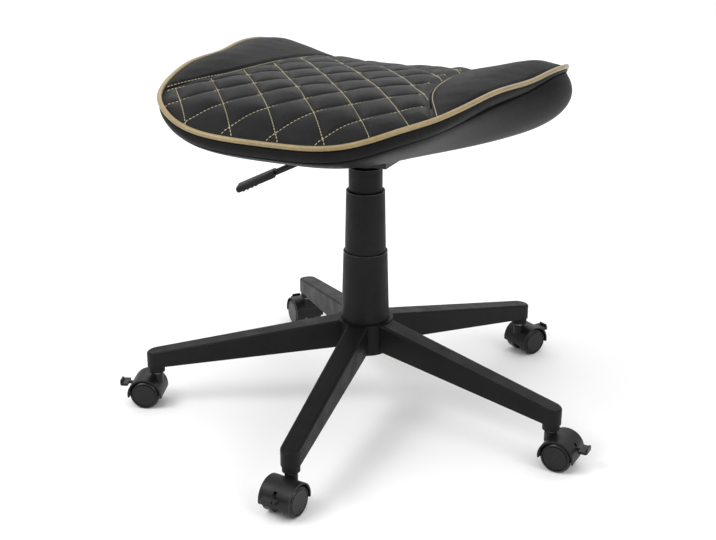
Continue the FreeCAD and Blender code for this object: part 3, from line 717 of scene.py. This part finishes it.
# wing panel: a bolster whose height is a rounded arch between the seam and the rim
def wingTop(x, y):
    outer = rimWidth(y)
    inner = seamLine(y) + wing["gap"]
    u = np.clip((np.abs(x) - inner) / np.maximum(outer - inner, 1e-4), 0, 1)
    bent = u ** wing["peak"]
    arch = np.clip(4 * bent * (1 - bent), 0, 1) ** 0.75
    puff = wing["frontPuff"] + (wing["puff"] - wing["frontPuff"]) * easeStep(*wing["fullY"], y)
    puff = puff * (1 - wing["tailLoss"] * easeStep(*wing["tailY"], y))
    width = np.clip((outer - inner) / wing["fullWidth"], 0, 1)
    tuck = (1 - easeStep(0, wing["tuckReach"], np.abs(x) - inner)) * wing["tuck"] * width
    rimShare = 1 - easeStep(0, wing["tuckReach"], outer - np.abs(x))
    tuck = tuck + rimShare * wing["tuck"] * wing["rimTuck"] * width
    rise = swell["share"] * fieldAt(wingField, np.abs(x), y) * arch
    sink = seatForm["rimSink"] * sideShare(x, y) * easeStep(0.6, 1.0, u)
    bolster = (puff * width + coverDrift(x, y)) * arch
    return crownHeight(x, y) + bolster + rise - tuck - sink


# half width of the centre panel: the rim at the front, the seam further back
def padEdges(y):
    seam = np.where(y > seatForm["seamY"][0], seamLine(y), 1)
    return np.minimum(rimWidth(y), seam) - quilt["edgeGap"]


# where along Y the rim and the seam leave room for a wing
def wingEnds():
    y = np.linspace(-0.25, seatForm["back"], 4000)
    inside = rimWidth(y) - seamLine(y) - 0.0008 > 0
    return y[inside][0], y[inside][-1]


# rows that crowd towards both tips, as a cosine does
def wingRows(count):
    low, high = wingEnds()
    t = np.linspace(0, np.pi, count)
    return low + (high - low) * (1 - np.cos(t)) / 2


roughRows = padRows(64)
roughEdge = padEdges(roughRows)
roughWing = wingRows(60)
roughQuilt = padRings(roughRows, -roughEdge, roughEdge, crownHeight, 60, 30, quilt["thick"])
quiltField = simulateSwell("quiltProxy", roughQuilt)
roughOuter = rimWidth(roughWing) - wing["rimGap"]
roughPad = padRings(roughWing, seamLine(roughWing), roughOuter, crownHeight, 24, 16, wing["thick"])
wingField = simulateSwell("wingProxy", roughPad)


# the centre panel as closed rings from front to back, capped at both ends
def makeQuiltedPanel():
    y = padRows(quilt["rows"])
    edge = padEdges(y)
    rings = padRings(y, -edge, edge, quiltTop, quilt["columns"], quilt["under"], quilt["thick"])
    rows, columns = rings.shape[:2]
    panel = newPiece(
        "quiltedPanel", rings, gridFaces(rows, columns, wrapColumns=True), finishes["seatLeather"],
        [range(columns), range((rows - 1) * columns, rows * columns)],
    )
    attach(panel, "seat")
    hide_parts("quilted_pad")
    print("quilted panel:", len(panel.data.vertices), "points")


# one wing as closed rings between its seam and the rim
def makeWingPanel(side, name, node):
    y = wingRows(wing["rows"])
    inner = seamLine(y) + wing["gap"]
    outer = np.maximum(rimWidth(y) - wing["rimGap"], inner + wing["gap"])
    left, right = (inner, outer) if side > 0 else (-outer, -inner)
    rings = padRings(y, left, right, wingTop, wing["columns"], wing["under"], wing["thick"])
    rows, columns = rings.shape[:2]
    panel = newPiece(
        name, rings, gridFaces(rows, columns, wrapColumns=True), finishes["wingLeather"],
        [range(columns), range((rows - 1) * columns, rows * columns)],
    )
    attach(panel, "seat")
    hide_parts(node)


makeQuiltedPanel()
makeWingPanel(1, "wingPanelLeft", "wing_pad_left")
makeWingPanel(-1, "wingPanelRight", "wing_pad_right")
print("wing panels made")

# Piping, border and lower body

piping = {"radius": 0.0030, "out": 0.0006, "up": 0.0004, "steps": 560, "sides": 20}

border = {
    "frontDrop": 0.0155,
    "sideDrop": 0.0165,
    "backDrop": 0.0080,
    "bulge": 0.0016,
    "setBack": 0.0020,
    "depth": 0.030,
    "sideX": (0.06, 0.17),
    "backY": (-0.10, 0.11),
    "sink": 0.0005,
    "steps": 520,
}

lowerBody = {
    "low": 0.379,
    "front": 0.125,
    "back": 0.150,
    "halfWidth": 0.122,
    "flare": 0.46,
    "steps": 420,
    "heights": 46,
    "lip": 0.0022,
    "ledge": 0.010,
    "standFront": -0.0045,
    "standBack": 0.0016,
    "runFront": 0.20,
    "runBack": 0.76,
    "bulgeFront": -0.0095,
    "bulgeBack": 0.025,
    "dipFront": 0.26,
    "dipBack": 0.50,
    "boardGap": 0.0015,
    "shelf": 0.85,
    "shelfSink": 0.020,
    "dish": 0.50,
    "dishRise": 0.012,
    "shareY": (-0.18, 0.14),
    "standY": (-0.21, -0.08),
    "lipSteps": 6,
}


# a circle carried round a closed loop, upright against the loop's own direction
def loopTube(centres, radius, sides):
    ahead = np.roll(centres, -1, 0) - np.roll(centres, 1, 0)
    ahead /= np.linalg.norm(ahead, axis=1, keepdims=True)
    side = np.cross(ahead, np.array([0.0, 0.0, 1.0]))
    side /= np.linalg.norm(side, axis=1, keepdims=True)
    up = np.cross(side, ahead)
    turn = np.arange(sides) / sides * 2 * np.pi
    ring = np.cos(turn)[None, :, None] * side[:, None, :] + np.sin(turn)[None, :, None] * up[:, None, :]
    return centres[:, None, :] + radius * ring


# a round cord along the rim, a little outside and above it
def makePiping():
    rim, out = rimLoop(piping["steps"])[1:]
    centres = rim + np.c_[out * piping["out"], np.full(len(rim), piping["up"])]
    rings = loopTube(centres, piping["radius"], piping["sides"])
    tube = newPiece("rimPiping", rings, gridFaces(*rings.shape[:2], True, True), finishes["goldPiping"])
    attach(tube, "seat")
    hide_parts("piping")
    print("piping made")


# drop of the border below the rim: middling at the front, deepest beside the front corners, least at the back
def borderDrop(x, y):
    side = easeStep(*border["sideX"], np.abs(x))
    front = border["frontDrop"] + (border["sideDrop"] - border["frontDrop"]) * side
    return front + (border["backDrop"] - front) * easeStep(*border["backY"], y)


# a shallow bulging band under the piping, closed behind; its leather is a darker copy of the seat leather,
# painted shade in the recess under the piping
def makeBorder():
    rim, out = rimLoop(border["steps"])[1:]
    drop = borderDrop(rim[:, 0], rim[:, 1])
    t = np.linspace(0, 1, 12)
    swollen = np.sin(np.pi * np.clip(t * 1.05, 0, 1)) ** 0.7 * 2.2
    face = border["bulge"] * swollen - border["setBack"]
    offset = np.r_[face, -0.008, -border["depth"], -border["depth"]]
    share = np.r_[0.02 + 0.98 * t, 0.96, 0.86, 0.02]
    rings = np.empty((len(rim), len(offset), 3))
    rings[:, :, :2] = rim[:, None, :2] + out[:, None, :] * offset[None, :, None]
    rings[:, :, 2] = rim[:, None, 2] - drop[:, None] * share[None, :] - border["sink"]
    band = newPiece("sideBorder", rings, gridFaces(*rings.shape[:2], True, True), finishes["borderLeatherPaintedShade"])
    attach(band, "seat")
    print("border made")


# a setting's front value and back value mixed by a share
def frontToBack(label, share):
    return lowerBody[label + "Front"] + (lowerBody[label + "Back"] - lowerBody[label + "Front"]) * share


# fender and underside: from the crease over a rounded edge, then one cubic curve down and in to the board
def makeLowerBody():
    heading, rim, out = rimLoop(lowerBody["steps"])
    foot = rim[:, 2] - borderDrop(rim[:, 0], rim[:, 1])
    low = lowerBody["low"]
    share = easeStep(*lowerBody["shareY"], rim[:, 1])
    stand = frontToBack("stand", easeStep(*lowerBody["standY"], rim[:, 1]))
    xf = rim[:, 0] + out[:, 0] * stand
    yf = rim[:, 1] + out[:, 1] * stand
    top = np.stack([xf, yf, foot - lowerBody["lip"]], -1)
    xb, yb = ovalPoint(heading, *[lowerBody[key] for key in ("front", "back", "halfWidth", "flare")])
    base = np.stack([xb, yb, np.full_like(xb, low)], -1)
    reach = top - base
    tall = reach[:, 2]
    lower = base + reach * np.stack([frontToBack("run", share)] * 2 + [np.full_like(xb, 0.03)], -1)
    upper = top + np.c_[out * frontToBack("bulge", share)[:, None], -tall * frontToBack("dip", share)]
    t = np.linspace(1, 0, lowerBody["heights"])[None, :, None]
    wall = (1 - t) ** 3 * base[:, None] + 3 * t * (1 - t) ** 2 * lower[:, None]
    wall = wall + 3 * t ** 2 * (1 - t) * upper[:, None] + t ** 3 * top[:, None]
    turn = np.linspace(np.pi / 2, 0, lowerBody["lipSteps"] + 1)[:-1]
    inset = lowerBody["lip"] * (1 - np.cos(turn))
    rise = lowerBody["lip"] * np.sin(turn)
    edge = np.empty((len(rim), len(turn), 3))
    edge[:, :, 0] = xf[:, None] - out[:, :1] * inset[None, :]
    edge[:, :, 1] = yf[:, None] - out[:, 1:] * inset[None, :]
    edge[:, :, 2] = (foot - lowerBody["lip"])[:, None] + rise[None, :]
    ledge = edge[:, :1, :].copy()
    ledge[:, 0, :2] -= out * lowerBody["ledge"]
    boardLow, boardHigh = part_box("seat_board")
    gap = lowerBody["boardGap"]
    shelf = ledge * np.array([lowerBody["shelf"], lowerBody["shelf"], 1.0])
    below = crownHeight(shelf[:, :, 0], shelf[:, :, 1]) - lowerBody["shelfSink"]
    shelf[:, :, 2] = np.minimum(shelf[:, :, 2], below)
    dish = ledge * np.array([lowerBody["dish"], lowerBody["dish"], 1.0])
    dish[:, :, 2] = boardHigh.z + lowerBody["dishRise"]
    along = np.sign(np.sin(heading)) * np.abs(np.sin(heading)) ** 0.25
    across = np.sign(np.cos(heading)) * np.abs(np.cos(heading)) ** 0.25
    bx = across * (boardHigh.x + gap)
    by = along * np.where(along > 0, boardHigh.y + gap, gap - boardLow.y)
    mouth = np.stack([bx, by, np.full_like(bx, low)], -1)
    roof = np.stack([bx, by, np.full_like(bx, boardHigh.z + gap)], -1)
    inner = np.stack([mouth, roof], 1)
    rings = np.concatenate([dish, shelf, ledge, edge, wall, inner], 1)
    rows, columns = rings.shape[:2]
    first = np.arange(rows) * columns
    body = newPiece(
        "seatUnderbody", rings, gridFaces(rows, columns, True, False), finishes["bodyLeather"],
        [first, first + columns - 1],
    )
    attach(body, "seat")
    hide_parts("seat_body")
    print("lower body made")


makePiping()
makeBorder()
makeLowerBody()

# Rolled rims on the column cover's stages, lighter in colour as a painted highlight

coverRim = {"bead": 0.0008, "steps": 120, "sides": 14, "sink": 0.0003}


# a thin bead round a cover stage's top edge, its radius taken from the CAD points there; its plastic is
# glossier than the cover plastic, and its lighter colour is a painted highlight along the edge
def makeCoverRim(name, node, body):
    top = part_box(node)[1].z
    points = meshPoints(nodes[node].data) @ np.array(nodes[node].matrix_world.to_3x3()).T
    points = points + np.array(nodes[node].matrix_world.translation)
    radius = np.hypot(points[:, 0], points[:, 1])[points[:, 2] > top - 0.0005].max()
    turn = np.arange(coverRim["steps"]) / coverRim["steps"] * 2 * np.pi
    ring = radius - coverRim["bead"] + coverRim["sink"]
    height = np.full_like(turn, top - coverRim["sink"])
    centres = np.stack([ring * np.cos(turn), ring * np.sin(turn), height], 1)
    beads = loopTube(centres, coverRim["bead"], coverRim["sides"])
    rim = newPiece(name, beads, gridFaces(*beads.shape[:2], True, True), finishes["rimPlasticPaintedHighlight"])
    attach(rim, body)


makeCoverRim("coverRimLower", "cover_lower", "base")
makeCoverRim("coverRimMiddle", "cover_middle", "cover_middle")
makeCoverRim("coverRimUpper", "cover_upper", "seat")
print("cover rims made")

# Stitching

stitch = {
    "length": 0.0038,
    "pitch": 0.0047,
    "radius": 0.00052,
    "lift": 0.00055,
    "dip": 0.0005,
    "inset": 0.0025,
    "seamFrom": -0.21,
    "lineReach": (-0.03, 0.50),
    "fewest": 40,
    "seamOffset": 0.0030,
    "rings": 6,
    "sides": 6,
}


# rounded thread lengths along a path: every stitch is the same small capsule, its ends dipping in
def stitchPoints(path, normals):
    run = np.r_[0, np.cumsum(np.linalg.norm(np.diff(path, axis=0), axis=1))]
    count = max(int((run[-1] - stitch["length"]) / stitch["pitch"]), 0)
    middle = stitch["length"] / 2 + np.arange(count) * stitch["pitch"]
    centre = np.stack([np.interp(middle, run, path[:, k]) for k in range(3)], 1)
    nextTo = np.stack([np.interp(middle + 0.001, run, path[:, k]) for k in range(3)], 1)
    ahead = nextTo - np.stack([np.interp(middle - 0.001, run, path[:, k]) for k in range(3)], 1)
    ahead /= np.linalg.norm(ahead, axis=1, keepdims=True)
    up = np.stack([np.interp(middle, run, normals[:, k]) for k in range(3)], 1)
    up -= ahead * (up * ahead).sum(1, keepdims=True)
    up /= np.linalg.norm(up, axis=1, keepdims=True)
    side = np.cross(ahead, up)
    t = np.linspace(-1, 1, stitch["rings"])
    turn = np.arange(stitch["sides"]) / stitch["sides"] * 2 * np.pi
    girth = stitch["radius"] * np.maximum(1 - t ** 4, 0.0) ** 0.5
    local = np.empty((stitch["rings"], stitch["sides"], 3))
    local[:, :, 0] = t[:, None] * stitch["length"] / 2
    local[:, :, 1] = girth[:, None] * np.cos(turn)[None, :]
    arch = stitch["lift"] - stitch["dip"] * t ** 2
    local[:, :, 2] = girth[:, None] * np.sin(turn)[None, :] + arch[:, None]
    local = local.reshape(-1, 3)
    axes = np.stack([ahead, side, up], 1)
    return centre[:, None, :] + np.einsum("vk,skd->svd", local, axes)


# faces of every capsule, the first one's shifted along
def stitchFaces(count):
    rings = stitch["rings"]
    sides = stitch["sides"]
    one = gridFaces(rings, sides, wrapColumns=True)
    shift = np.arange(count)[:, None, None] * rings * sides
    return (one[None] + shift).reshape(-1, 4)


# surface normal of a height function, from its slopes
def topNormals(top, x, y):
    step = 0.0008
    sx = (top(x + step, y) - top(x - step, y)) / (2 * step)
    sy = (top(x, y + step) - top(x, y - step)) / (2 * step)
    n = np.stack([-sx, -sy, np.ones_like(sx)], 1)
    return n / np.linalg.norm(n, axis=1, keepdims=True)


# true where a sewn line keeps its distance from the rim and from the seams
def insidePanel(x, y):
    clearOfSeam = (seamLine(y) - np.abs(x) > stitch["inset"]) | (y < stitch["seamFrom"])
    return (rimRoom(x, y) > stitch["inset"]) & clearOfSeam


# one quilting line: fixed sum or difference of the two diamond coordinates, kept inside the panel
def quiltLine(index, side):
    along = np.linspace(*stitch["lineReach"], 1200)
    y = quilt["crossY"] + along
    x = quilt["crossX"] + side * (index - along / quilt["diamondLong"]) * quilt["diamondWide"]
    keep = insidePanel(x, y)
    x = x[keep]
    y = y[keep]
    return np.stack([x, y, quiltTop(x, y)], 1)


# all the stitches of one kind as a single piece
def makeThreads(name, rows):
    points = np.concatenate(rows, 0)
    threads = newPiece(name, points, stitchFaces(len(points)), finishes["goldThread"])
    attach(threads, "seat")
    print(name, len(points), "stitches")


# stitches along both families of quilting lines
def makeQuiltStitching():
    rows = []
    for side in (-1, 1):
        for index in range(-4, 10):
            path = quiltLine(index, side)
            if len(path) > stitch["fewest"]:
                rows.append(stitchPoints(path, topNormals(quiltTop, path[:, 0], path[:, 1])))
    makeThreads("quiltStitching", rows)


# one row on each wing, a set distance out from its seam
def makeSeamStitching():
    low, high = wingEnds()
    y = np.linspace(low + 0.006, high - 0.004, 900)
    rows = []
    for side in (-1, 1):
        x = side * (seamLine(y) + stitch["seamOffset"])
        keep = rimRoom(x, y) > 0.004
        path = np.stack([x[keep], y[keep], wingTop(x[keep], y[keep])], 1)
        rows.append(stitchPoints(path, topNormals(wingTop, x[keep], y[keep])))
    makeThreads("seamStitching", rows)


makeQuiltStitching()
makeSeamStitching()

# Studio

studio = {
    "eye": (0.657, -1.432, 0.798),
    "aim": (-0.009, -0.004, 0.196),
    "lens": 63.83,
    "floorSize": 120.0,
    "floorShade": 0.93,
    "skyShade": 1.0,
    "skyLow": 0.30,
    "skyHigh": 1.45,
    "lights": {
        "keyLight": dict(place=(-1.2, -1.6, 2.2), target=(0, 0, 0.35), size=(1.4, 1.0), power=34.0),
        "fillLight": dict(place=(2.4, -0.6, 1.5), target=(0, 0, 0.4), size=(1.2, 1.6), power=16.0),
        "rimLight": dict(place=(-0.9, 2.6, 1.3), target=(0, 0, 0.2), size=(3.0, 1.0), power=9.0),
    },
}


# turns a camera or a light towards a place
def aimed(obj, target):
    direction = Vector(target) - obj.location
    obj.rotation_euler = direction.to_track_quat("-Z", "Y").to_euler()


# the photo's own view
def makeCamera():
    data = bpy.data.cameras.new("photoView")
    data.lens = studio["lens"]
    data.sensor_width = 36.0
    camera = bpy.data.objects.new("photoView", data)
    camera.location = studio["eye"]
    aimed(camera, studio["aim"])
    bpy.context.scene.collection.objects.link(camera)
    bpy.context.scene.camera = camera


# a soft rectangular lamp
def makeLight(name, place, target, size, power):
    data = bpy.data.lights.new(name, "AREA")
    data.shape = "RECTANGLE"
    data.size, data.size_y = size
    data.energy = power
    light = bpy.data.objects.new(name, data)
    light.location = place
    aimed(light, target)
    bpy.context.scene.collection.objects.link(light)


# a pale, nearly plain ground
def makeFloor():
    half = studio["floorSize"] / 2
    material, tree, shader, place = newFinish("studioFloor")
    pale = grey(studio["floorShade"])
    drift = groupNode(tree, driftGroup, place, Scale=0.6, Dark=grey(studio["floorShade"] - 0.01), Light=pale)
    tree.links.new(drift.outputs["Color"], shader.inputs["Base Color"])
    shader.inputs["Roughness"].default_value = 0.9
    shader.inputs["Specular IOR Level"].default_value = 0.1
    points = np.array([[-half, -half, 0], [half, -half, 0], [half, half, 0], [-half, half, 0]], float)
    floor = newPiece("studioFloor", points, np.array([[0, 1, 2, 3]]), material)


# a sky that brightens from the horizon upwards
def makeSky():
    world = bpy.data.worlds.new("studioSky")
    bpy.context.scene.world = world
    world.use_nodes = True
    back = world.node_tree.nodes["Background"]
    back.inputs["Color"].default_value = grey(studio["skyShade"])
    place = world.node_tree.nodes.new("ShaderNodeTexCoord").outputs["Generated"]
    split = world.node_tree.nodes.new("ShaderNodeSeparateXYZ")
    world.node_tree.links.new(place, split.inputs[0])
    climb = rangeNode(world.node_tree, split.outputs["Z"], 0.0, 1.0, studio["skyLow"], studio["skyHigh"])
    world.node_tree.links.new(climb, back.inputs["Strength"])


makeCamera()
makeFloor()
makeSky()
for lightName, lightValues in studio["lights"].items():
    makeLight(lightName, **lightValues)
bpy.context.scene.view_settings.view_transform = "Standard"
print("studio made")
